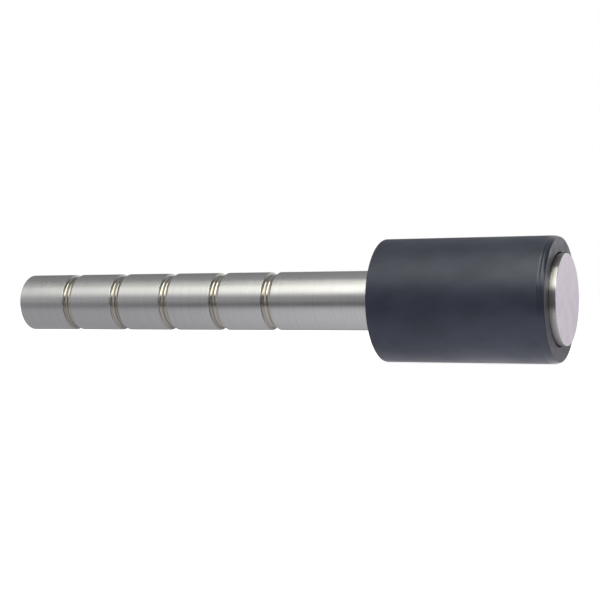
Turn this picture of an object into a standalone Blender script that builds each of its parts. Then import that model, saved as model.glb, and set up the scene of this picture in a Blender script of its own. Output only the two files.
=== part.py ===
"""Hand-held magnetic nail sweeper: a grooved steel rod with a magnet head in a plastic stripper sleeve.

Frame: the origin is the centre of the pole face and +X points out of that face, away from the rod.
The tool lies level along X. Pushing the sleeve forward along +X wipes the nails off the pole face,
and the spring inside pushes it back. Constants are in millimetres; MM turns them into metres.
Every x below is a place along the tool's axis, and every radius is measured from that axis.
"""
import math

import bmesh
import bpy
from mathutils import Matrix

MM = 0.001
GAP = 0.3                    # clearance between pieces that touch or run on each other
SIDES = 36                   # facets round a turned piece

# Driving dimensions
TOTAL_LENGTH = 252.0         # pole face to the rod's rear end
ROD_RADIUS = 12.5            # a 25 mm bar
GROOVE_COUNT = 5
GROOVE_PITCH = 25.0          # one finger's width, the first groove this far from the rear end
GROOVE_WIDTH = 4.8
GROOVE_DEPTH = 1.0
GROOVE_WALL = 0.7            # length along the axis of each sloping wall
SLEEVE_RADIUS = 25.5
SLEEVE_LENGTH = 73.2
SLEEVE_FRONT = -2.8          # the pole disc stands this much proud of the sleeve
DISC_RADIUS = 18.35
STROKE = 17.0                # how far the sleeve slides forward

# Sleeve
SLEEVE_REAR = SLEEVE_FRONT - SLEEVE_LENGTH
SLEEVE_BORE = 21.3
MOUTH_CLEARANCE = 0.4        # between the pole disc and the sleeve's lip
MOUTH_RADIUS = DISC_RADIUS + MOUTH_CLEARANCE
LIP_LENGTH = 10.0
LIP_REAR = SLEEVE_FRONT - LIP_LENGTH
EDGE_ROLL = 0.85             # how far the front edge rolls in, over EDGE_RUN along the axis
EDGE_RUN = 3.3
ROLL_MID_RUN = 0.3 * EDGE_RUN    # the one point of the roll between its ends
ROLL_MID_DROP = 0.45 * EDGE_ROLL
EDGE_BREAK = 0.4             # the small chamfer on every other turned edge

# Magnet pack, from the pole face backwards
DISC_REAR = LIP_REAR - GAP
MAGNET_LENGTH = 10.0
MAGNET_COUNT = 2
MAGNET_RADIUS = 18.8
MAGNET_BORE = 7.5
MAGNET_FRONT = DISC_REAR - GAP
PACK_REAR = MAGNET_FRONT - MAGNET_COUNT * MAGNET_LENGTH - (MAGNET_COUNT - 1) * GAP
SHELL_RADIUS = 20.7
SHELL_INSIDE = MAGNET_RADIUS + GAP
STOP_THICKNESS = 1.0
SHELL_FRONT = DISC_REAR - STOP_THICKNESS - GAP
PLATE_FRONT = PACK_REAR - GAP
PLATE_THICKNESS = 6.0
PLATE_REAR = PLATE_FRONT - PLATE_THICKNESS
RING_SEAT_RADIUS = 19.4      # floor of the guide ring's groove in the back plate
RING_SEAT_MARGIN = 1.0
WASHER_THICKNESS = 1.0
WASHER_RADIUS = 8.5

# Rod and stud
ROD_REAR = -TOTAL_LENGTH
ROD_FRONT = PLATE_REAR - WASHER_THICKNESS - 2 * GAP
STUD_RADIUS = 5.0
STUD_HOLE = STUD_RADIUS + GAP
STUD_FRONT = -5.4
STUD_INSERT = 19.8           # how far the stud goes into the rod
STUD_REAR = ROD_FRONT - STUD_INSERT
DRILL_POINT = 2.5            # depth of the cone that a drill leaves
GRUB_SETBACK = 8.4           # from the rod's front end to the set screw
GRUB_X = ROD_FRONT - GRUB_SETBACK
GRUB_RADIUS = 2.0
GRUB_SOCKET = 1.15           # centre to corner of the hexagon
GRUB_SOCKET_DEPTH = 2.5
GRUB_SINK = 0.3              # below the rod's surface
GRUB_RUN_OUT = 2.0           # how far the hole's cutter reaches out of the rod

# Rear cap, its bush and its seals
CAP_RECESS = 3.2             # from the sleeve's rear end to the cap
CAP_REAR = SLEEVE_REAR + CAP_RECESS
CAP_RADIUS = SLEEVE_BORE - GAP
FLANGE_THICKNESS = 5.0
FLANGE_FRONT = CAP_REAR + FLANGE_THICKNESS
HUB_RADIUS = 16.0
BUSH_RADIUS = 14.4
RUNNING_RADIUS = ROD_RADIUS + GAP
EYE_CLEARANCE = 0.6          # between the rod and the cap's eye
CAP_EYE = ROD_RADIUS + EYE_CLEARANCE
SEAL_THICKNESS = 2.4
SEAL_X = CAP_REAR + FLANGE_THICKNESS / 2
WIPER_POINTS = 10            # corners of the rubber ring's section
SEAL_GROOVE = SEAL_THICKNESS + 2 * GAP
SHOULDER_STEP = 0.2          # the bush stands on a shoulder this far in front of the flange
BUSH_SHOULDER = FLANGE_FRONT + SHOULDER_STEP
BUMPER_THICKNESS = 1.5
BUMPER_FRONT = PLATE_REAR - STROKE - GAP
HUB_FRONT = BUMPER_FRONT - BUMPER_THICKNESS - GAP

# Snap ring
SNAP_PLAY = 0.4              # between the ring and the cap
SNAP_THICKNESS = 1.4
SNAP_FRONT = CAP_REAR - SNAP_PLAY
SNAP_REAR = SNAP_FRONT - SNAP_THICKNESS
SNAP_RADIUS = 22.3
SNAP_INSIDE = 20.3
SNAP_LUG = 3.0               # how far the two ends swell inwards round their eyes
SNAP_OPENING = 16.0          # half of the open angle, in degrees
SNAP_LUG_ANGLE = 12.0        # width of one lug, in degrees
SNAP_STEPS = 56
SNAP_EYE_RADIUS = 0.9
SNAP_EYE_SIDES = 12
SNAP_EYE_SHARE = 0.4         # place of the eye within its lug
SNAP_DRILL = 4.0             # length of the eye's cutter

# Spring
WIRE_RADIUS = 0.9
COIL_RADIUS = 18.0
TURNS = 4.5
END_PITCH = 2.2              # pitch of the closed end turns, just over the wire's thickness
POINTS_PER_TURN = 20
SEAT_THICKNESS = 1.2
SEAT_FRONT = FLANGE_FRONT + GAP + SEAT_THICKNESS
SPRING_FRONT = PLATE_REAR - GAP
SPRING_REAR = SEAT_FRONT + GAP


def clear_scene():
    for old in list(bpy.data.objects):
        bpy.data.objects.remove(old)


def material(name, color, roughness, metallic=0.0):
    made = bpy.data.materials.new(name)
    made.use_nodes = True
    shader = made.node_tree.nodes["Principled BSDF"]
    shader.inputs["Base Color"].default_value = (*color, 1.0)
    shader.inputs["Roughness"].default_value = roughness
    shader.inputs["Metallic"].default_value = metallic
    return made


def add_object(name, mesh, surface):
    mesh.materials.append(surface)
    made = bpy.data.objects.new(name, mesh)
    bpy.context.scene.collection.objects.link(made)
    return made


def finish_mesh(name, shape, surface):
    """Turn a bmesh into an object with smooth rounds and sharp edges."""
    bmesh.ops.remove_doubles(shape, verts=shape.verts, dist=1e-6)
    bmesh.ops.recalc_face_normals(shape, faces=shape.faces)
    mesh = bpy.data.meshes.new(name)
    shape.to_mesh(mesh)
    shape.free()
    mesh.shade_smooth()
    mesh.set_sharp_from_angle(angle=math.radians(30))
    return add_object(name, mesh, surface)


def turned(name, outline, surface, ring=False):
    """Spin an outline of (x, radius) points about the X axis. A ring's outline is closed on itself;
    any other starts and ends on the axis. The start is turned half a facet, so that the piece has a
    flat facet underneath and lies steady."""
    shape = bmesh.new()
    start = math.pi / SIDES
    points = [shape.verts.new((x * MM, radius * math.sin(start) * MM, radius * math.cos(start) * MM))
              for x, radius in outline]
    pairs = list(zip(points, points[1:]))
    if ring:
        pairs.append((points[-1], points[0]))
    edges = [shape.edges.new(pair) for pair in pairs]
    bmesh.ops.spin(shape, geom=points + edges, cent=(0, 0, 0), axis=(1, 0, 0),
                   angle=math.tau, steps=SIDES, use_merge=True)
    return finish_mesh(name, shape, surface)


def tube(name, front, rear, outside, inside, surface, edge=0.0):
    """A plain turned ring, its outer edges chamfered by edge."""
    outline = [(rear, inside), (front, inside), (front, outside - edge)]
    if edge:
        outline += [(front - edge, outside), (rear + edge, outside)]
    outline.append((rear, outside - edge))
    return turned(name, outline, surface, ring=True)


def cutter(name, radius, length, sides, place):
    """A hidden prism that cuts a hole; place puts its centre and turns its axis."""
    shape = bmesh.new()
    bmesh.ops.create_cone(shape, cap_ends=True, segments=sides, radius1=radius * MM,
                          radius2=radius * MM, depth=length * MM, matrix=place)
    mesh = bpy.data.meshes.new(name)
    shape.to_mesh(mesh)
    shape.free()
    made = bpy.data.objects.new(name, mesh)
    bpy.context.scene.collection.objects.link(made)
    made.hide_render = True
    made.display_type = 'WIRE'
    return made


def cut(target, tool):
    boolean = target.modifiers.new("cut", 'BOOLEAN')
    boolean.operation = 'DIFFERENCE'
    boolean.solver = 'EXACT'
    boolean.object = tool


def upright(x, radius):
    """A place on the line that runs up from the axis at x, this far from it."""
    return Matrix.Translation((x * MM, 0.0, radius * MM))


def grip_groove(centre):
    """One finger groove's profile: a sloping wall, a flat floor and a sloping wall."""
    half = GROOVE_WIDTH / 2
    floor_half = half - GROOVE_WALL
    floor_radius = ROD_RADIUS - GROOVE_DEPTH
    return [(centre - half, ROD_RADIUS), (centre - floor_half, floor_radius),
            (centre + floor_half, floor_radius), (centre + half, ROD_RADIUS)]


def grip_rod(surface):
    outline = [(ROD_REAR, 0.0), (ROD_REAR, ROD_RADIUS - EDGE_BREAK), (ROD_REAR + EDGE_BREAK, ROD_RADIUS)]
    for index in range(GROOVE_COUNT):
        outline += grip_groove(ROD_REAR + GROOVE_PITCH * (index + 1))
    hole_end = STUD_REAR - GAP
    outline += [(ROD_FRONT - EDGE_BREAK, ROD_RADIUS), (ROD_FRONT, ROD_RADIUS - EDGE_BREAK)]
    outline += [(ROD_FRONT, STUD_HOLE), (hole_end, STUD_HOLE), (hole_end - DRILL_POINT, 0.0)]
    rod = turned("grip_rod", outline, surface)
    depth = ROD_RADIUS - STUD_RADIUS + GRUB_RUN_OUT
    cut(rod, cutter("grub_hole", GRUB_RADIUS + GAP, depth, SIDES // 2,
                    upright(GRUB_X, STUD_RADIUS + depth / 2)))


def centre_stud(surface):
    outline = [(STUD_REAR, 0.0), (STUD_REAR, STUD_RADIUS - EDGE_BREAK)]
    outline += [(STUD_REAR + EDGE_BREAK, STUD_RADIUS), (STUD_FRONT - EDGE_BREAK, STUD_RADIUS)]
    outline += [(STUD_FRONT, STUD_RADIUS - EDGE_BREAK), (STUD_FRONT, 0.0)]
    turned("centre_stud", outline, surface)


def grub_screw(surface):
    """A socket set screw that stands on the stud, across the axis."""
    bottom = STUD_RADIUS + GAP
    top = ROD_RADIUS - GRUB_SINK
    shape = bmesh.new()
    bmesh.ops.create_cone(shape, cap_ends=True, segments=SIDES // 2, radius1=GRUB_RADIUS * MM,
                          radius2=GRUB_RADIUS * MM, depth=(top - bottom) * MM,
                          matrix=upright(GRUB_X, (top + bottom) / 2))
    screw = finish_mesh("grub_screw", shape, surface)
    cut(screw, cutter("grub_socket", GRUB_SOCKET, 2 * GRUB_SOCKET_DEPTH, 6, upright(GRUB_X, top)))


def pole_disc(surface):
    hole_end = STUD_FRONT + GAP
    outline = [(hole_end, 0.0), (hole_end, STUD_HOLE), (DISC_REAR, STUD_HOLE), (DISC_REAR, DISC_RADIUS)]
    outline += [(-EDGE_BREAK, DISC_RADIUS), (0.0, DISC_RADIUS - EDGE_BREAK), (0.0, 0.0)]
    turned("pole_disc", outline, surface)


def magnet_pack(magnet, stainless, brass, steel, fibre, nylon):
    """The rings, the tube that centres them, their shell, the plate behind and the rings on it."""
    for index, name in enumerate(("magnet_ring_front", "magnet_ring_rear")):
        front = MAGNET_FRONT - index * (MAGNET_LENGTH + GAP)
        tube(name, front, front - MAGNET_LENGTH, MAGNET_RADIUS, MAGNET_BORE, magnet, EDGE_BREAK)
    tube("spacer_tube", MAGNET_FRONT, PACK_REAR, MAGNET_BORE - GAP, STUD_HOLE, brass)
    tube("magnet_shell", SHELL_FRONT, PACK_REAR, SHELL_RADIUS, SHELL_INSIDE, stainless)
    tube("stop_ring_front", DISC_REAR, SHELL_FRONT + GAP, SHELL_RADIUS, SHELL_INSIDE, fibre)
    seat_front = PLATE_FRONT - RING_SEAT_MARGIN
    seat_rear = PLATE_REAR + RING_SEAT_MARGIN
    outline = [(PLATE_REAR, STUD_HOLE), (PLATE_FRONT, STUD_HOLE), (PLATE_FRONT, SHELL_RADIUS)]
    outline += [(seat_front, SHELL_RADIUS), (seat_front, RING_SEAT_RADIUS)]
    outline += [(seat_rear, RING_SEAT_RADIUS), (seat_rear, SHELL_RADIUS), (PLATE_REAR, SHELL_RADIUS)]
    turned("back_plate", outline, steel, ring=True)
    tube("guide_ring", seat_front - GAP, seat_rear + GAP, SLEEVE_BORE - GAP, RING_SEAT_RADIUS + GAP,
         nylon)
    tube("lock_washer", PLATE_REAR - GAP, ROD_FRONT + GAP, WASHER_RADIUS, STUD_HOLE, steel)


def stripper_sleeve(surface):
    groove_front = SNAP_FRONT + GAP
    groove_rear = SNAP_REAR - GAP
    groove_floor = SNAP_RADIUS + GAP
    outline = [(SLEEVE_FRONT, SLEEVE_RADIUS - EDGE_ROLL)]
    outline += [(SLEEVE_FRONT - ROLL_MID_RUN, SLEEVE_RADIUS - ROLL_MID_DROP)]
    outline += [(SLEEVE_FRONT - EDGE_RUN, SLEEVE_RADIUS), (SLEEVE_REAR + EDGE_BREAK, SLEEVE_RADIUS)]
    outline += [(SLEEVE_REAR, SLEEVE_RADIUS - EDGE_BREAK), (SLEEVE_REAR, SLEEVE_BORE + EDGE_BREAK)]
    outline += [(SLEEVE_REAR + EDGE_BREAK, SLEEVE_BORE), (groove_rear, SLEEVE_BORE)]
    outline += [(groove_rear, groove_floor), (groove_front, groove_floor), (groove_front, SLEEVE_BORE)]
    outline += [(LIP_REAR, SLEEVE_BORE), (LIP_REAR, MOUTH_RADIUS)]
    outline += [(SLEEVE_FRONT - EDGE_BREAK, MOUTH_RADIUS), (SLEEVE_FRONT, MOUTH_RADIUS + EDGE_BREAK)]
    return turned("stripper_sleeve", outline, surface, ring=True)


def rear_cap(surface):
    """A flange that fills the sleeve's bore and a hub that reaches forward along the rod."""
    seal_rear = SEAL_X - SEAL_GROOVE / 2
    seal_front = SEAL_X + SEAL_GROOVE / 2
    seal_floor = RUNNING_RADIUS + SEAL_THICKNESS + GAP
    pocket = BUSH_RADIUS + GAP
    outline = [(CAP_REAR, CAP_EYE), (seal_rear, CAP_EYE), (seal_rear, seal_floor)]
    outline += [(seal_front, seal_floor), (seal_front, CAP_EYE), (BUSH_SHOULDER, CAP_EYE)]
    outline += [(BUSH_SHOULDER, pocket), (HUB_FRONT, pocket), (HUB_FRONT, HUB_RADIUS)]
    outline += [(FLANGE_FRONT, HUB_RADIUS), (FLANGE_FRONT, CAP_RADIUS)]
    outline += [(CAP_REAR + EDGE_BREAK, CAP_RADIUS), (CAP_REAR, CAP_RADIUS - EDGE_BREAK)]
    return turned("rear_cap", outline, surface, ring=True)


def rod_wiper(surface):
    """An O-ring: a circle of a few points, spun."""
    half = SEAL_THICKNESS / 2
    centre = RUNNING_RADIUS + half
    angles = [math.tau * index / WIPER_POINTS for index in range(WIPER_POINTS)]
    outline = [(SEAL_X + half * math.cos(angle), centre + half * math.sin(angle)) for angle in angles]
    return turned("rod_wiper", outline, surface, ring=True)


def snap_ring(surface):
    """An open ring with an eyed lug at each end, its opening upwards."""
    first = math.radians(SNAP_OPENING)
    sweep = math.tau - 2 * first
    lug = math.radians(SNAP_LUG_ANGLE)
    outer, inner = [], []
    for step in range(SNAP_STEPS + 1):
        along = sweep * step / SNAP_STEPS
        swell = max(0.0, 1.0 - min(along, sweep - along) / lug)
        inside = SNAP_INSIDE - SNAP_LUG * math.sqrt(swell * (2.0 - swell))
        outer.append((first + along, SNAP_RADIUS))
        inner.append((first + along, inside))
    shape = bmesh.new()
    corners = []
    for angle, radius in outer + inner[::-1]:
        spot = (SNAP_REAR * MM, radius * math.sin(angle) * MM, radius * math.cos(angle) * MM)
        corners.append(shape.verts.new(spot))
    face = shape.faces.new(corners)
    extruded = bmesh.ops.extrude_face_region(shape, geom=[face])
    moved = [item for item in extruded["geom"] if isinstance(item, bmesh.types.BMVert)]
    bmesh.ops.translate(shape, verts=moved, vec=((SNAP_FRONT - SNAP_REAR) * MM, 0, 0))
    ring = finish_mesh("snap_ring", shape, surface)
    for side, name in ((1, "snap_eye_left"), (-1, "snap_eye_right")):
        angle = side * (first + lug * SNAP_EYE_SHARE)
        middle = (SNAP_REAR + SNAP_FRONT) / 2
        reach = (SNAP_INSIDE + SNAP_RADIUS) / 2 - SNAP_LUG / 2
        spot = (middle * MM, reach * math.sin(angle) * MM, reach * math.cos(angle) * MM)
        place = Matrix.Translation(spot) @ Matrix.Rotation(math.pi / 2, 4, 'Y')
        cut(ring, cutter(name, SNAP_EYE_RADIUS, SNAP_DRILL, SNAP_EYE_SIDES, place))
    return ring


def spring_reach(part):
    """Place along the spring, 0 to 1, after part of its turns: closed turns at both ends, open between."""
    length = SPRING_FRONT - SPRING_REAR - 2 * WIRE_RADIUS
    closed = END_PITCH * TURNS / length
    open_share = part * part * (3.0 - 2.0 * part)
    return closed * part + (1.0 - closed) * open_share


def return_spring(surface):
    curve = bpy.data.curves.new("return_spring", 'CURVE')
    curve.dimensions = '3D'
    curve.bevel_depth = WIRE_RADIUS * MM
    curve.bevel_resolution = 2
    curve.use_fill_caps = True
    line = curve.splines.new('POLY')
    count = int(TURNS * POINTS_PER_TURN)
    line.points.add(count)
    start = SPRING_REAR + WIRE_RADIUS
    span = SPRING_FRONT - SPRING_REAR - 2 * WIRE_RADIUS
    for index, point in enumerate(line.points):
        part = index / count
        angle = math.tau * TURNS * part
        x = start + span * spring_reach(part)
        point.co = (x * MM, COIL_RADIUS * math.sin(angle) * MM, COIL_RADIUS * math.cos(angle) * MM, 1.0)
    add_object("return_spring", curve, surface)


def ride(children):
    """Hang the sleeve's pieces on one empty on the axis, so that they slide and turn together."""
    carriage = bpy.data.objects.new("sleeve_carriage", None)
    bpy.context.scene.collection.objects.link(carriage)
    for child in children:
        child.parent = carriage


def build():
    clear_scene()
    stainless = material("turned_stainless", (0.52, 0.51, 0.50), 0.35, 1.0)
    steel = material("steel", (0.45, 0.45, 0.46), 0.40, 1.0)
    magnet = material("nickel_plate", (0.60, 0.58, 0.55), 0.25, 1.0)
    brass = material("brass", (0.70, 0.55, 0.28), 0.35, 1.0)
    plastic = material("blue_grey_plastic", (0.065, 0.070, 0.085), 0.45)
    nylon = material("nylon", (0.75, 0.73, 0.68), 0.50)
    rubber = material("black_rubber", (0.02, 0.02, 0.02), 0.60)
    fibre = material("red_fibre", (0.25, 0.06, 0.04), 0.70)

    grip_rod(stainless)
    centre_stud(steel)
    grub_screw(steel)
    pole_disc(stainless)
    magnet_pack(magnet, stainless, brass, steel, fibre, nylon)
    return_spring(steel)
    seat = tube("spring_seat", SEAT_FRONT, SEAT_FRONT - SEAT_THICKNESS, CAP_RADIUS - GAP,
                HUB_RADIUS + GAP, steel)
    sleeve = stripper_sleeve(plastic)
    cap = rear_cap(plastic)
    bush = tube("guide_bush", HUB_FRONT - GAP, BUSH_SHOULDER + GAP, BUSH_RADIUS, RUNNING_RADIUS, brass)
    bumper = tube("stop_ring_rear", BUMPER_FRONT, HUB_FRONT + GAP, HUB_RADIUS, CAP_EYE, rubber)
    ride([seat, sleeve, cap, bush, bumper, rod_wiper(rubber), snap_ring(steel)])


build()
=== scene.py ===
"""Looks of the hand-held magnetic nail sweeper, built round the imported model.

The tool's axis is the X axis: the pole face is at x = 0 and the rod runs back along -X. Outlines are
lists of (x, radius, fillet) in metres, spun about that axis. Places and radii come from the frame's
nodes; the few sizes that they can't give are named in millimetres and turned into metres by MM.
"""
import math

import bmesh
import bpy
from mathutils import Matrix, Vector


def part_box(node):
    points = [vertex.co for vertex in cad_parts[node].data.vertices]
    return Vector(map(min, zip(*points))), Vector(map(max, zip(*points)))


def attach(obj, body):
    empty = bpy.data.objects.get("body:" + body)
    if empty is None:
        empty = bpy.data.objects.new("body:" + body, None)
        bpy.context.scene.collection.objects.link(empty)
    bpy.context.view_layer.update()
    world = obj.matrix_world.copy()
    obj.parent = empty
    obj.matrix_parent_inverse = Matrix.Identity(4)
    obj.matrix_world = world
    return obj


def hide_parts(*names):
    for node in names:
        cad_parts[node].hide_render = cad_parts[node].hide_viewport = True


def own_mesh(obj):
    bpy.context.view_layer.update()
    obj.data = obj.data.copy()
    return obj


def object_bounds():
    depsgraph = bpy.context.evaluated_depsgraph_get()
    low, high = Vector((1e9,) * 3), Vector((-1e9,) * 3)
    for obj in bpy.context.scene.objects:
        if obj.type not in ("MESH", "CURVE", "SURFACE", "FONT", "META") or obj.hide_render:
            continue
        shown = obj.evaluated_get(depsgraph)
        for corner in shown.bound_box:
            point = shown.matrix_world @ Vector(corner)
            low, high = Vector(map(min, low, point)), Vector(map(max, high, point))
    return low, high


MM = 0.001
GAP = 0.3 * MM               # clearance between pieces that touch or run on each other
ROUND_STEPS = 256            # facets round an outside piece
INNER_STEPS = 128            # facets round a piece inside the sleeve
FILLET_STEPS = 5             # runs in one rounded corner
SMALL_EDGE = 0.2 * MM        # rounding on the inner pieces' edges
NODE_BEVEL = 0.12 * MM       # broken edges of the CAD nodes that keep their shape
BEVEL_ANGLE = 40             # degrees; flatter edges stay unbroken
SHARP_ANGLE = 35             # degrees; steeper edges are shaded sharp
END_FACING = 0.9             # an end face's normal has at least this share of X
GUARD = 0.1 * MM             # a ring this far from each rounding keeps the long faces' shading true

# Camera: place in metres from the pole face, view angles and roll in degrees, lens on a 36 mm sensor
CAMERA_PLACE = (0.1459, -0.5682, -0.0010)
CAMERA_AZIMUTH = 24.77
CAMERA_ELEVATION = -0.132
CAMERA_ROLL = -0.25
CAMERA_LENS = 87.8

# Studio and floor
BOX_LEVEL = 3.5              # softbox brightness
GLOW_LEVEL = 0.66            # brightness of the lit floor in reflections
FLOOR_RADIUS = 30.0          # metres
FLOOR_DROP = 0.2 * MM        # from the lowest point of the tool down to the floor

# Grip rod
GROOVE_COUNT = 5
GROOVE_PITCH = 25.0 * MM
GROOVE_WIDTH = 4.8 * MM
GROOVE_DEPTH = 1.0 * MM      # from the rod's surface to the ridges on the groove's floor
GROOVE_WALL = 0.7 * MM       # each soft-shouldered wall's length along the axis
WALL_STEPS = 8
CUT_COUNT = 2                # side-by-side tool cuts that make the floor
CUT_DEPTH = 0.12 * MM
CUT_STEPS = 12
GROOVE_INSET = 0.25 * MM     # rod faces deeper than this are the grooves' polished ones
ROD_EDGE = 0.35 * MM
GRUB_REACH = 2.0 * MM        # how far the set screw's hole runs past the screw
ROD_EYE = 0.6 * MM           # how much wider the cap's eye is than the rod

# Pole disc
DISC_EDGE = 0.25 * MM
DISC_HOLE_DEPTH = 8.0 * MM

# Sleeve
LIP_LENGTH = 10.0 * MM
LIP_CLEARANCE = 0.4 * MM
EDGE_ROLL = 0.85 * MM        # how far in the front edge rolls
EDGE_RUN = 3.3 * MM          # how far back the roll reaches
ROLL_STEPS = 80              # runs in the front edge's roll
LINE_BACK = 1.95 * MM        # a fine turned line this far behind the front edge
LINE_HALF = 0.27 * MM
LINE_DEPTH = 0.16 * MM
WORN_EDGE = 3.0 * MM         # how far back the front edge is worn smooth
MOUTH_EDGE = 0.35 * MM
REAR_EDGE = 0.4 * MM
CAP_SHOULDER = 0.3 * MM      # from the bush's rear end back to its shoulder

# Spring
WIRE_RADIUS = 0.9 * MM
TURNS = 4.5
END_PITCH = 2.2 * MM         # pitch of the closed end turns
TURN_STEPS = 48              # runs in one turn of the spring
WIRE_SIDES = 12              # facets round the wire

WIPER_POINTS = 24            # round the O-ring's section


class Tree:
    """Short ways to add nodes to a material's or the world's node tree."""

    def __init__(self, owner):
        self.nodes = owner.node_tree.nodes
        self.links = owner.node_tree.links

    def node(self, kind, inputs, **settings):
        made = self.nodes.new(kind)
        for name, value in settings.items():
            setattr(made, name, value)
        for key, value in inputs.items():
            if isinstance(value, bpy.types.NodeSocket):
                self.links.new(value, made.inputs[key])
            else:
                made.inputs[key].default_value = value
        return made

    def math(self, operation, first, second=0.0):
        return self.node("ShaderNodeMath", {0: first, 1: second}, operation=operation).outputs[0]

    def step(self, value, start, end, low=0.0, high=1.0):
        """A smooth step of the value, from low at start to high at end."""
        inputs = {"Value": value, "From Min": start, "From Max": end, "To Min": low, "To Max": high}
        return self.node("ShaderNodeMapRange", inputs, interpolation_type='SMOOTHSTEP').outputs["Result"]

    def turn(self, angle, start, end, low=0.0, high=1.0):
        """A smooth step of an angle in radians, with its start and end given in degrees."""
        return self.step(angle, math.radians(start), math.radians(end), low, high)

    def by_view(self, reflected, seen, output):
        """Show one shader to the camera and another to every other ray."""
        camera_ray = self.node("ShaderNodeLightPath", {}).outputs["Is Camera Ray"]
        inputs = {0: camera_ray, 1: reflected.outputs[0], 2: seen.outputs[0]}
        mix = self.node("ShaderNodeMixShader", inputs)
        self.links.new(mix.outputs[0], self.nodes[output].inputs["Surface"])


class Surface(Tree):
    """A Principled material with procedural tint, roughness and bump."""

    def __init__(self, name, color, roughness, metallic=0.0):
        self.material = bpy.data.materials.new(name)
        self.material.use_nodes = True
        super().__init__(self.material)
        self.shader = self.nodes["Principled BSDF"]
        self.shader.inputs["Base Color"].default_value = (*color, 1.0)
        self.shader.inputs["Roughness"].default_value = roughness
        self.shader.inputs["Metallic"].default_value = metallic
        self.color = color
        self.place = self.nodes.new("ShaderNodeTexCoord").outputs["Object"]

    def noise(self, scale, detail=3.0, rough=0.5, place=None):
        """Noise of 0 to 1; scale is cycles per metre along X, Y and Z."""
        mapped = self.node("ShaderNodeMapping", {"Vector": place or self.place, "Scale": scale})
        inputs = {"Vector": mapped.outputs[0], "Scale": 1.0, "Detail": detail, "Roughness": rough}
        return self.node("ShaderNodeTexNoise", inputs).outputs["Fac"]

    def rings(self, scale, detail=3.0):
        """Noise that changes only with the distance from the axis, so it draws rings on an end face."""
        inputs = {0: self.place, 1: (0.0, 1.0, 1.0)}
        across = self.node("ShaderNodeVectorMath", inputs, operation='MULTIPLY')
        far = self.node("ShaderNodeVectorMath", {0: across.outputs[0]}, operation='LENGTH')
        place = self.node("ShaderNodeCombineXYZ", {"X": far.outputs["Value"]}).outputs[0]
        return self.noise((scale, 1.0, 1.0), detail, 0.6, place)

    def tint(self, value, dark, light, start=0.3, end=0.7):
        """Base colour from dark to light times the material's own colour."""
        low = (*(channel * dark for channel in self.color), 1.0)
        high = (*(channel * light for channel in self.color), 1.0)
        share = self.step(value, start, end)
        made = self.node("ShaderNodeMix", {0: share, 6: low, 7: high}, data_type='RGBA')
        self.links.new(made.outputs[2], self.shader.inputs["Base Color"])

    def rough(self, value, low, high):
        """Roughness from low to high with the value."""
        self.links.new(self.step(value, 0.3, 0.7, low, high), self.shader.inputs["Roughness"])

    def bump(self, *layers):
        """Chain bumps; each layer is (height, depth in metres)."""
        normal = None
        for height, depth in layers:
            inputs = {"Height": height, "Strength": 1.0, "Distance": depth}
            if normal:
                inputs["Normal"] = normal
            normal = self.node("ShaderNodeBump", inputs).outputs["Normal"]
        self.links.new(normal, self.shader.inputs["Normal"])

    def turned_lines(self, amount):
        """Stretch the highlights along the axis, as turning marks round it do."""
        self.shader.inputs["Anisotropic"].default_value = amount
        self.shader.inputs["Anisotropic Rotation"].default_value = 0.25
        tangent = self.node("ShaderNodeTangent", {}, direction_type='RADIAL', axis='X')
        self.links.new(tangent.outputs[0], self.shader.inputs["Tangent"])


def turned_steel():
    """Satin turned stainless: fine lines round the axis, with faint smudges."""
    made = Surface("turned_steel", (0.43, 0.43, 0.425), 0.28, 1.0)
    lines = made.noise((1500.0, 8.0, 8.0), 5.0, 0.7)
    smudge = made.noise((60.0, 70.0, 70.0), 3.0)
    made.tint(lines, 0.93, 1.07)
    made.rough(smudge, 0.25, 0.31)
    made.bump((lines, 0.000006))
    made.turned_lines(0.6)
    return made.material


def polished_steel():
    """The grooves' floors and walls: smooth, a little warm, with plain tool marks."""
    made = Surface("polished_steel", (0.35, 0.33, 0.285), 0.10, 1.0)
    lines = made.noise((900.0, 6.0, 6.0), 4.0, 0.7)
    made.tint(lines, 0.55, 1.15, 0.38, 0.58)
    made.rough(made.noise((300.0, 120.0, 120.0)), 0.08, 0.15)
    made.bump((lines, 0.000004))
    return made.material


def bright_steel():
    """The pole disc's side: finely turned and brighter than the rod."""
    made = Surface("bright_steel", (0.43, 0.425, 0.41), 0.28, 1.0)
    lines = made.noise((2200.0, 6.0, 6.0), 3.0)
    made.tint(lines, 0.90, 1.08)
    made.rough(made.noise((200.0, 90.0, 90.0)), 0.25, 0.31)
    made.bump((lines, 0.000004))
    made.turned_lines(0.8)
    return made.material


def ground_steel():
    """The pole face: ground matt, with faint clouding."""
    made = Surface("ground_steel", (0.76, 0.70, 0.76), 0.50, 1.0)
    cloud = made.noise((160.0, 160.0, 160.0), 4.0, 0.6)
    grain = made.noise((900.0, 4200.0, 900.0), 4.0, 0.6)
    made.tint(cloud, 0.94, 1.06)
    made.rough(cloud, 0.46, 0.56)
    made.bump((grain, 0.000008))
    return made.material


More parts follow.
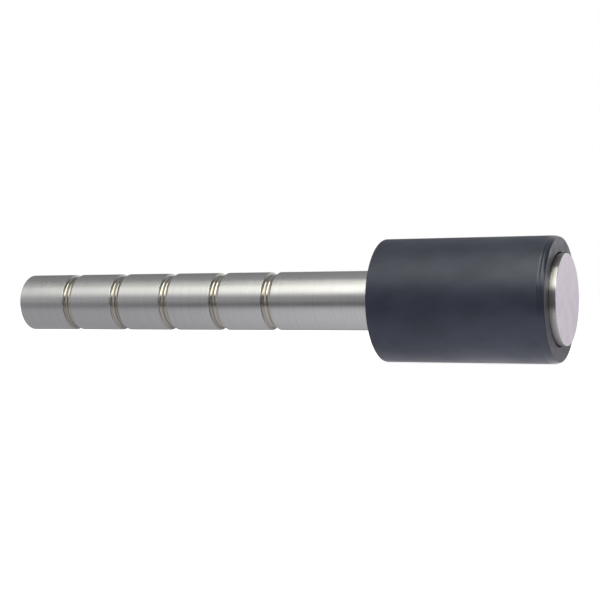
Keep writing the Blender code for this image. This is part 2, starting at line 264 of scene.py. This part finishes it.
def sleeve_plastic():
    """Blue-grey turned plastic: satin, faintly mottled, with handling smudges, and its sheen painted
    weaker towards the rear as shade.
    """
    made = Surface("sleeve_plastic", (0.017, 0.0195, 0.033), 0.44)
    mottle = made.noise((70.0, 110.0, 110.0), 4.0, 0.6)
    lines = made.noise((1500.0, 7.0, 7.0), 4.0, 0.6)
    made.shader.inputs["Specular Tint"].default_value = (0.86, 0.93, 1.0, 1.0)
    made.tint(mottle, 0.80, 1.22)
    made.rough(made.noise((45.0, 80.0, 80.0), 4.0, 0.6), 0.38, 0.50)
    made.bump((mottle, 0.00004), (lines, 0.000008))
    along = made.node("ShaderNodeSeparateXYZ", {0: made.place}).outputs["X"]
    painted_sheen_falloff = made.step(along, -60 * MM, -20 * MM, 0.40, 0.50)    # painted shade: the sheen is a little weaker towards the rear, standing in for the light falling off away from the softbox
    made.links.new(painted_sheen_falloff, made.shader.inputs["Specular IOR Level"])
    return made.material


def edge_plastic():
    """The plastic where the front edge has been rolled over and has worn smooth."""
    made = Surface("edge_plastic", (0.018, 0.020, 0.031), 0.20)
    lines = made.noise((1800.0, 7.0, 7.0), 3.0)
    made.shader.inputs["Specular Tint"].default_value = (0.82, 0.91, 1.0, 1.0)
    made.tint(lines, 0.85, 1.2)
    made.rough(made.noise((90.0, 90.0, 90.0)), 0.20, 0.30)
    made.bump((lines, 0.000004))
    return made.material


def faced_plastic():
    """The same plastic where a facing tool has left rings."""
    made = Surface("faced_plastic", (0.046, 0.042, 0.053), 0.45)
    rings = made.rings(1500.0)
    mottle = made.noise((120.0, 120.0, 120.0), 3.0)
    made.tint(rings, 0.80, 1.20)
    made.rough(mottle, 0.36, 0.50)
    made.bump((rings, 0.000012))
    return made.material


def plain_metal(name, color, roughness):
    """Turned metal of the inner pieces: fine marks round the axis and a slow change of tone."""
    made = Surface(name, color, roughness, 1.0)
    marks = made.noise((1400.0, 12.0, 12.0), 4.0, 0.6)
    made.tint(made.noise((200.0, 200.0, 200.0)), 0.88, 1.10)
    made.rough(marks, roughness - 0.06, roughness + 0.08)
    made.bump((marks, 0.000010))
    return made.material


def plain_soft(name, color, roughness, grain=900.0):
    """Moulded or pressed non-metals: a fine grain and a slow change of tone."""
    made = Surface(name, color, roughness)
    fine = made.noise((grain, grain, grain), 3.0)
    made.tint(made.noise((150.0, 150.0, 150.0)), 0.85, 1.15)
    made.rough(fine, roughness - 0.05, roughness + 0.08)
    made.bump((fine, 0.00002))
    return made.material


def rounded(corners):
    """Turn (x, radius, fillet) corners into (x, radius) points, each fillet an arc."""
    points = []
    for index, (x, radius, fillet) in enumerate(corners):
        if not fillet:
            points.append((x, radius))
            continue
        here = Vector((x, radius))
        before = (Vector(corners[index - 1][:2]) - here).normalized()
        after = (Vector(corners[(index + 1) % len(corners)][:2]) - here).normalized()
        half = before.angle(after) / 2
        middle = here + (before + after).normalized() * fillet / math.sin(half)
        start = here + before * fillet / math.tan(half) - middle
        end = here + after * fillet / math.tan(half) - middle
        points.append(tuple(middle + start + before * GUARD))
        for step in range(FILLET_STEPS + 1):
            spoke = start.lerp(end, step / FILLET_STEPS).normalized() * fillet
            points.append(tuple(middle + spoke))
        points.append(tuple(middle + end + after * GUARD))
    return points


def add_piece(name, shape, materials, body, node):
    """Turn a bmesh into a piece that rides on a body and stands for a CAD node."""
    bmesh.ops.recalc_face_normals(shape, faces=shape.faces)
    mesh = bpy.data.meshes.new(name)
    shape.to_mesh(mesh)
    shape.free()
    mesh.shade_smooth()
    mesh.set_sharp_from_angle(angle=math.radians(SHARP_ANGLE))
    for surface in materials:
        mesh.materials.append(surface)
    piece = bpy.data.objects.new(name, mesh)
    bpy.context.scene.collection.objects.link(piece)
    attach(piece, body)
    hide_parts(node)
    return piece


def spun(outline, ring=True, steps=INNER_STEPS):
    """Spin (x, radius) points about the X axis. A ring's outline is closed on itself."""
    shape = bmesh.new()
    points = [shape.verts.new((x, 0.0, radius)) for x, radius in outline]
    pairs = list(zip(points, points[1:]))
    if ring:
        pairs.append((points[-1], points[0]))
    edges = [shape.edges.new(pair) for pair in pairs]
    bmesh.ops.spin(shape, geom=points + edges, cent=(0, 0, 0), axis=(1, 0, 0),
                   angle=math.tau, steps=steps, use_merge=True)
    bmesh.ops.remove_doubles(shape, verts=shape.verts, dist=1e-7)
    bmesh.ops.recalc_face_normals(shape, faces=shape.faces)
    shape.normal_update()
    return shape


def paint(shape, pick):
    """pick(centre, normal) gives a face's material index."""
    for face in shape.faces:
        face.material_index = pick(face.calc_center_median(), face.normal)


class Span:
    """Where a round CAD node starts and ends along the axis, and its inner and outer radius."""

    def __init__(self, node):
        spots = [vertex.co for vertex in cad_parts[node].data.vertices]
        radii = [math.hypot(spot.y, spot.z) for spot in spots]
        low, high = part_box(node)
        self.rear, self.front = low[0], high[0]
        self.inside, self.outside = min(radii), max(radii)


def groove(centre, radius):
    """One finger groove's profile: soft shoulders down to a floor of shallow side-by-side tool cuts."""
    half = GROOVE_WIDTH / 2
    wall = [(-GUARD, 0.0)]
    for step in range(WALL_STEPS + 1):
        share = step / WALL_STEPS
        wall.append((GROOVE_WALL * share, GROOVE_DEPTH * share * share * (3.0 - 2.0 * share)))
    points = [(centre - half + run, radius - dip, 0.0) for run, dip in wall]
    cut_width = (GROOVE_WIDTH - 2 * GROOVE_WALL) / CUT_COUNT
    for step in range(1, CUT_COUNT * CUT_STEPS):
        across = step / CUT_STEPS
        dip = GROOVE_DEPTH + CUT_DEPTH * abs(math.sin(math.pi * across))
        points.append((centre - half + GROOVE_WALL + cut_width * across, radius - dip, 0.0))
    points += [(centre + half - run, radius - dip, 0.0) for run, dip in reversed(wall)]
    return points


def grub_hole(shape):
    """Cut the set screw's hole into the rod and give back the cut mesh as a new bmesh."""
    screw = Span("grub_screw")
    low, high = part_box("grub_screw")
    radius = (high[0] - low[0]) / 2 + GAP
    depth = high[2] - low[2] + GRUB_REACH
    place = Matrix.Translation(((screw.rear + screw.front) / 2, 0.0, low[2] + depth / 2))
    tool_shape = bmesh.new()
    bmesh.ops.create_cone(tool_shape, cap_ends=True, segments=INNER_STEPS // 2, radius1=radius,
                          radius2=radius, depth=depth, matrix=place)
    pieces = []
    for name, source in (("rod_blank", shape), ("grub_drill", tool_shape)):
        mesh = bpy.data.meshes.new(name)
        source.to_mesh(mesh)
        source.free()
        pieces.append(bpy.data.objects.new(name, mesh))
        bpy.context.scene.collection.objects.link(pieces[-1])
    blank, drill = pieces
    cut = blank.modifiers.new("cut", 'BOOLEAN')
    cut.operation = 'DIFFERENCE'
    cut.solver = 'EXACT'
    cut.object = drill
    bored = bmesh.new()
    bored.from_object(blank, bpy.context.evaluated_depsgraph_get())
    for piece in pieces:
        bpy.data.objects.remove(piece)
    return bored


def grip_rod(steel, polished):
    """The handle: a round bar with finger grooves, bored for the stud and the set screw."""
    span = Span("grip_rod")
    stud = Span("centre_stud")
    hole = stud.outside + GAP
    outline = [(span.rear, 0.0, 0.0), (span.rear, span.outside, ROD_EDGE)]
    for index in range(GROOVE_COUNT):
        outline += groove(span.rear + GROOVE_PITCH * (index + 1), span.outside)
    outline += [(span.front, span.outside, ROD_EDGE), (span.front, hole, 0.0)]
    outline += [(stud.rear - GAP, hole, 0.0), (stud.rear - GAP - hole / 2, 0.0, 0.0)]
    shape = grub_hole(spun(rounded(outline), ring=False, steps=ROUND_STEPS))
    grooves_end = span.front - GROOVE_PITCH

    def pick(centre, normal):
        across = math.hypot(centre.y, centre.z)
        in_groove = across < span.outside - GROOVE_INSET and centre.x < grooves_end
        return 1 if in_groove and abs(normal.x) < END_FACING else 0

    paint(shape, pick)
    add_piece("grip_rod_visual", shape, [steel, polished], "handle", "grip_rod")


def pole_disc(side, ground):
    """The disc in front of the magnets, with a blind hole for the stud."""
    span = Span("pole_disc")
    hole = Span("centre_stud").outside + GAP
    outline = [(span.rear + DISC_HOLE_DEPTH, 0.0, 0.0), (span.rear + DISC_HOLE_DEPTH, hole, 0.0)]
    outline += [(span.rear, hole, 0.0), (span.rear, span.outside, DISC_EDGE)]
    outline += [(span.front, span.outside, DISC_EDGE), (span.front, 0.0, 0.0)]
    shape = spun(rounded(outline), ring=False, steps=ROUND_STEPS)

    def pick(centre, normal):
        return 1 if normal.x > END_FACING and centre.x > span.front - DISC_EDGE else 0

    paint(shape, pick)
    add_piece("pole_disc_visual", shape, [side, ground], "handle", "pole_disc")


def front_roll(front, radius):
    """The sleeve's front edge: an elliptical roll, crossed by the fine line that the tool left."""
    points = []
    for step in range(ROLL_STEPS + 1):
        angle = math.pi / 2 * step / ROLL_STEPS
        back = EDGE_RUN * (1.0 - math.cos(angle))
        line = LINE_DEPTH * max(0.0, 1.0 - abs(back - LINE_BACK) / LINE_HALF)
        points.append((front - back, radius - EDGE_ROLL * (1.0 - math.sin(angle)) - line, 0.0))
    return points


def stripper_sleeve(skin, faced, edge):
    """The plastic sleeve, with its front lip round the disc and the snap ring's slot behind."""
    span = Span("stripper_sleeve")
    bore = Span("rear_cap").outside + GAP
    mouth = Span("pole_disc").outside + LIP_CLEARANCE
    snap = Span("snap_ring")
    slot_rear, slot_front, slot_floor = snap.rear - GAP, snap.front + GAP, snap.outside + GAP
    outline = front_roll(span.front, span.outside)
    outline += [(span.rear, span.outside, REAR_EDGE), (span.rear, bore, REAR_EDGE)]
    outline += [(slot_rear, bore, 0.0), (slot_rear, slot_floor, 0.0), (slot_front, slot_floor, 0.0)]
    outline += [(slot_front, bore, 0.0), (span.front - LIP_LENGTH, bore, 0.0)]
    outline += [(span.front - LIP_LENGTH, mouth, 0.0), (span.front, mouth, MOUTH_EDGE)]
    shape = spun(rounded(outline), steps=ROUND_STEPS)

    def pick(centre, normal):
        if abs(normal.x) > END_FACING:
            return 1
        return 2 if centre.x > span.front - WORN_EDGE else 0

    paint(shape, pick)
    add_piece("stripper_sleeve_visual", shape, [skin, faced, edge], "sleeve", "stripper_sleeve")


def rear_cap(faced):
    """The flange and hub that close the sleeve's rear, with room for the wiper and the bush."""
    span, wiper, bush = Span("rear_cap"), Span("rod_wiper"), Span("guide_bush")
    eye = Span("grip_rod").outside + ROD_EYE
    hub = Span("stop_ring_rear").outside
    seal_floor = wiper.outside + GAP
    pocket = bush.outside + GAP
    shoulder = bush.rear - CAP_SHOULDER
    flange_front = Span("spring_seat").rear - GAP
    outline = [(span.rear, eye, SMALL_EDGE), (wiper.rear - GAP, eye, 0.0)]
    outline += [(wiper.rear - GAP, seal_floor, 0.0)]
    outline += [(wiper.front + GAP, seal_floor, 0.0), (wiper.front + GAP, eye, 0.0), (shoulder, eye, 0.0)]
    outline += [(shoulder, pocket, 0.0), (span.front, pocket, SMALL_EDGE), (span.front, hub, SMALL_EDGE)]
    outline += [(flange_front, hub, SMALL_EDGE), (flange_front, span.outside, SMALL_EDGE)]
    outline += [(span.rear, span.outside, REAR_EDGE)]
    add_piece("rear_cap_visual", spun(rounded(outline)), [faced], "sleeve", "rear_cap")


def plain_ring(node, surface, body):
    """A finely turned ring in place of a plain CAD ring."""
    span = Span(node)
    outline = [(span.rear, span.inside, SMALL_EDGE), (span.front, span.inside, SMALL_EDGE)]
    outline += [(span.front, span.outside, SMALL_EDGE), (span.rear, span.outside, SMALL_EDGE)]
    add_piece(node + "_visual", spun(rounded(outline)), [surface], body, node)


def back_plate(surface):
    """The ring behind the magnets, with the guide ring's seat round it."""
    span, guide = Span("back_plate"), Span("guide_ring")
    floor_radius = guide.inside - GAP
    outline = [(span.rear, span.inside, SMALL_EDGE), (span.front, span.inside, SMALL_EDGE)]
    outline += [(span.front, span.outside, SMALL_EDGE), (guide.front + GAP, span.outside, 0.0)]
    outline += [(guide.front + GAP, floor_radius, 0.0), (guide.rear - GAP, floor_radius, 0.0)]
    outline += [(guide.rear - GAP, span.outside, 0.0), (span.rear, span.outside, SMALL_EDGE)]
    add_piece("back_plate_visual", spun(rounded(outline)), [surface], "handle", "back_plate")


def centre_stud(surface):
    """The stud through the magnets, with chamfer-sized roundings at both ends."""
    span = Span("centre_stud")
    outline = [(span.rear, 0.0, 0.0), (span.rear, span.outside, 2 * SMALL_EDGE)]
    outline += [(span.front, span.outside, 2 * SMALL_EDGE), (span.front, 0.0, 0.0)]
    add_piece("centre_stud_visual", spun(rounded(outline), ring=False), [surface], "handle",
              "centre_stud")


def rod_wiper(surface):
    """An O-ring: a circle, spun."""
    span = Span("rod_wiper")
    half = (span.front - span.rear) / 2
    outline = []
    for index in range(WIPER_POINTS):
        angle = math.tau * index / WIPER_POINTS
        x = span.rear + half + half * math.cos(angle)
        outline.append((x, span.inside + half + half * math.sin(angle)))
    add_piece("rod_wiper_visual", spun(outline), [surface], "sleeve", "rod_wiper")


def return_spring(surface):
    """A round wire on a helix: closed turns at both ends, open between."""
    span = Span("return_spring")
    coil_radius = span.outside - WIRE_RADIUS
    length = span.front - span.rear - 2 * WIRE_RADIUS
    closed = END_PITCH * TURNS / length
    count = int(TURNS * TURN_STEPS)
    shape = bmesh.new()
    rings = []
    for index in range(count + 1):
        part = index / count
        angle = math.tau * TURNS * part
        reach = closed * part + (1.0 - closed) * part * part * (3.0 - 2.0 * part)
        outward = Vector((0.0, math.sin(angle), math.cos(angle)))
        middle = outward * coil_radius + Vector((span.rear + WIRE_RADIUS + length * reach, 0.0, 0.0))
        ring = []
        for side in range(WIRE_SIDES):
            turn = math.tau * side / WIRE_SIDES
            spoke = outward * math.cos(turn) + Vector((math.sin(turn), 0.0, 0.0))
            ring.append(shape.verts.new(middle + spoke * WIRE_RADIUS))
        rings.append(ring)
    for first, second in zip(rings, rings[1:]):
        for side in range(WIRE_SIDES):
            after = (side + 1) % WIRE_SIDES
            shape.faces.new((first[side], first[after], second[after], second[side]))
    shape.faces.new(rings[0])
    shape.faces.new(rings[-1])
    piece = add_piece("return_spring_visual", shape, [surface], "handle", "return_spring")
    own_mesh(piece)


def dress_nodes(surfaces):
    """Give the CAD nodes that keep their shape a detailed material and softly broken edges."""
    for node, surface in surfaces.items():
        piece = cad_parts[node]
        piece.data.materials.clear()
        piece.data.materials.append(surface)
        bevel = piece.modifiers.new("edges", 'BEVEL')
        bevel.width = NODE_BEVEL
        bevel.segments = 2
        bevel.limit_method = 'ANGLE'
        bevel.angle_limit = math.radians(BEVEL_ANGLE)


def camera():
    """The view that the picture is taken from."""
    data = bpy.data.cameras.new("camera")
    data.lens = CAMERA_LENS
    data.sensor_width = 36.0
    made = bpy.data.objects.new("camera", data)
    bpy.context.scene.collection.objects.link(made)
    turn = Matrix.Rotation(math.radians(CAMERA_AZIMUTH), 4, 'Z')
    tilt = Matrix.Rotation(math.radians(90.0 - CAMERA_ELEVATION), 4, 'X')
    roll = Matrix.Rotation(math.radians(CAMERA_ROLL), 4, 'Z')
    made.matrix_world = Matrix.Translation(CAMERA_PLACE) @ turn @ tilt @ roll
    bpy.context.scene.camera = made


def studio():
    """A sky that only the object sees: a softbox over the camera, grey walls and a pale backdrop.

    along is the direction's share of X. rise is its angle about the X axis, up from the camera's side,
    and behind is the same angle without its sign.
    """
    world = bpy.data.worlds.new("studio")
    bpy.context.scene.world = world
    world.use_nodes = True
    tree = Tree(world)
    direction = tree.node("ShaderNodeTexCoord", {}).outputs["Generated"]
    parts = tree.node("ShaderNodeSeparateXYZ", {0: direction}).outputs
    along = parts["X"]
    rise = tree.math('ARCTAN2', parts["Z"], tree.math('MULTIPLY', parts["Y"], -1.0))
    behind = tree.math('ABSOLUTE', rise)

    # The softbox, with its top edge tilted and its bottom edge stepped along its length
    lift = tree.step(along, -0.42, -0.26, 0.0, math.radians(25))
    drop = tree.step(along, -0.10, 0.35, 0.0, math.radians(36))
    tilted = tree.math('ADD', tree.math('SUBTRACT', rise, lift), drop)
    sill = tree.math('SUBTRACT', rise, tree.step(along, -0.43, -0.38, 0.0, math.radians(9)))
    bottom = tree.turn(sill, 11, 31)
    top = tree.turn(tilted, 66, 58)
    sides = tree.math('MULTIPLY', tree.step(along, -0.61, -0.22), tree.step(along, 0.90, 0.80))
    box = tree.math('MULTIPLY', tree.math('MULTIPLY', bottom, top), sides)

    # The walls, the backdrop behind the object and the ceiling
    left = tree.math('MULTIPLY', tree.step(along, -0.25, -0.62, 0.0, 0.50), tree.turn(rise, 100, 60))
    right = tree.math('MULTIPLY', tree.step(along, -0.10, 0.25, 0.0, 0.16), tree.turn(behind, 90, 50))
    backdrop = tree.math('MULTIPLY', tree.turn(behind, 120, 165),
                         tree.step(along, -0.45, 0.15, 0.0, 1.12))
    ceiling = tree.math('MULTIPLY', tree.turn(rise, 70, 90), tree.turn(rise, 160, 110))
    ceiling = tree.math('MULTIPLY', ceiling, tree.step(along, 0.4, -0.3, 0.0, 0.36))
    ceiling = tree.math('MULTIPLY', ceiling, tree.step(along, -0.46, -0.30, 0.42, 1.0))
    base = tree.math('ADD', tree.step(along, 0.5, -0.1, 0.17, 0.29),
                     tree.step(along, 0.86, 0.96, 0.0, 0.8))
    plain = tree.math('ADD', tree.math('ADD', backdrop, ceiling),
                      tree.math('ADD', tree.math('ADD', left, right), base))

    level = tree.math('ADD', tree.math('MULTIPLY', box, BOX_LEVEL), plain)
    walls = tree.nodes["Background"]
    tree.links.new(level, walls.inputs["Strength"])
    shade = tree.node("ShaderNodeMix", {0: box, 6: (0.97, 0.965, 1.0, 1.0), 7: (1.0, 0.995, 0.90, 1.0)},
                      data_type='RGBA')
    tree.links.new(shade.outputs[2], walls.inputs["Color"])
    white = tree.node("ShaderNodeBackground", {"Color": (1.0, 1.0, 1.0, 1.0)})
    tree.by_view(walls, white, "World Output")


def floor():
    """A plain pale floor. In reflections it is bright round the object and falls off away from it."""
    shape = bmesh.new()
    bmesh.ops.create_circle(shape, cap_ends=True, segments=64, radius=FLOOR_RADIUS)
    mesh = bpy.data.meshes.new("floor")
    shape.to_mesh(mesh)
    shape.free()
    made = bpy.data.objects.new("floor", mesh)
    made.location = (0.0, 0.0, cad_low[2] - FLOOR_DROP)
    bpy.context.scene.collection.objects.link(made)
    surface = bpy.data.materials.new("floor")
    surface.use_nodes = True
    tree = Tree(surface)
    shader = tree.nodes["Principled BSDF"]
    shader.inputs["Base Color"].default_value = (0.50, 0.50, 0.505, 1.0)
    shader.inputs["Roughness"].default_value = 0.7
    shader.inputs["Specular IOR Level"].default_value = 0.1
    shader.inputs["Emission Color"].default_value = (1.0, 1.0, 1.0, 1.0)
    shader.inputs["Emission Strength"].default_value = 0.85
    place = tree.node("ShaderNodeTexCoord", {}).outputs["Object"]
    parts = tree.node("ShaderNodeSeparateXYZ", {0: place}).outputs
    front = tree.step(parts["Y"], -95 * MM, -35 * MM)
    back = tree.step(parts["Y"], 50 * MM, -20 * MM, 0.15, 1.0)
    length = tree.math('MULTIPLY', tree.step(parts["X"], -350 * MM, 20 * MM, 0.30, 1.35),
                       tree.step(parts["X"], 60 * MM, 0.0, 0.15, 1.0))
    glow = tree.math('MULTIPLY', tree.math('MULTIPLY', front, back), length)
    rear = tree.step(parts["X"], -180 * MM, -340 * MM, 0.26, 0.46)
    glow = tree.math('ADD', tree.math('MULTIPLY', glow, GLOW_LEVEL), rear)
    bounce = tree.node("ShaderNodeEmission", {"Color": (0.96, 0.95, 1.0, 1.0), "Strength": glow})
    tree.by_view(bounce, shader, "Material Output")
    mesh.materials.append(surface)


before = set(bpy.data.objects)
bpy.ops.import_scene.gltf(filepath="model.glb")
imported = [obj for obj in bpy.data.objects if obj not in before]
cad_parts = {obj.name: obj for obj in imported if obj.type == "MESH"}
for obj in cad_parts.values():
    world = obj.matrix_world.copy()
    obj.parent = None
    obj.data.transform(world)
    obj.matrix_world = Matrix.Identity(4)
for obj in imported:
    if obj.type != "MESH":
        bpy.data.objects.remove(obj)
cad_low, cad_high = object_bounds()

camera()
studio()
floor()
bpy.context.scene.view_settings.view_transform = 'Standard'

steel = turned_steel()
bright = bright_steel()
polished = polished_steel()
ground = ground_steel()
skin = sleeve_plastic()
faced = faced_plastic()
edge = edge_plastic()
machined = plain_metal("machined_steel", (0.42, 0.42, 0.43), 0.35)
nickel = plain_metal("nickel_plate", (0.60, 0.58, 0.55), 0.22)
brass = plain_metal("turned_brass", (0.62, 0.46, 0.20), 0.30)
nylon = plain_soft("nylon", (0.68, 0.66, 0.60), 0.50)
rubber = plain_soft("black_rubber", (0.022, 0.022, 0.023), 0.62)
fibre = plain_soft("red_fibre", (0.24, 0.06, 0.04), 0.72, 2200.0)

grip_rod(steel, polished)
pole_disc(bright, ground)
stripper_sleeve(skin, faced, edge)
rear_cap(faced)
rod_wiper(rubber)
return_spring(machined)
centre_stud(machined)
back_plate(machined)
plain_ring("magnet_ring_front", nickel, "handle")
plain_ring("magnet_ring_rear", nickel, "handle")
plain_ring("spacer_tube", brass, "handle")
plain_ring("magnet_shell", steel, "handle")
plain_ring("stop_ring_front", fibre, "handle")
plain_ring("guide_ring", nylon, "handle")
plain_ring("lock_washer", machined, "handle")
plain_ring("spring_seat", machined, "slider")
plain_ring("guide_bush", brass, "sleeve")
plain_ring("stop_ring_rear", rubber, "sleeve")
dress_nodes({"grub_screw": machined, "snap_ring": machined})
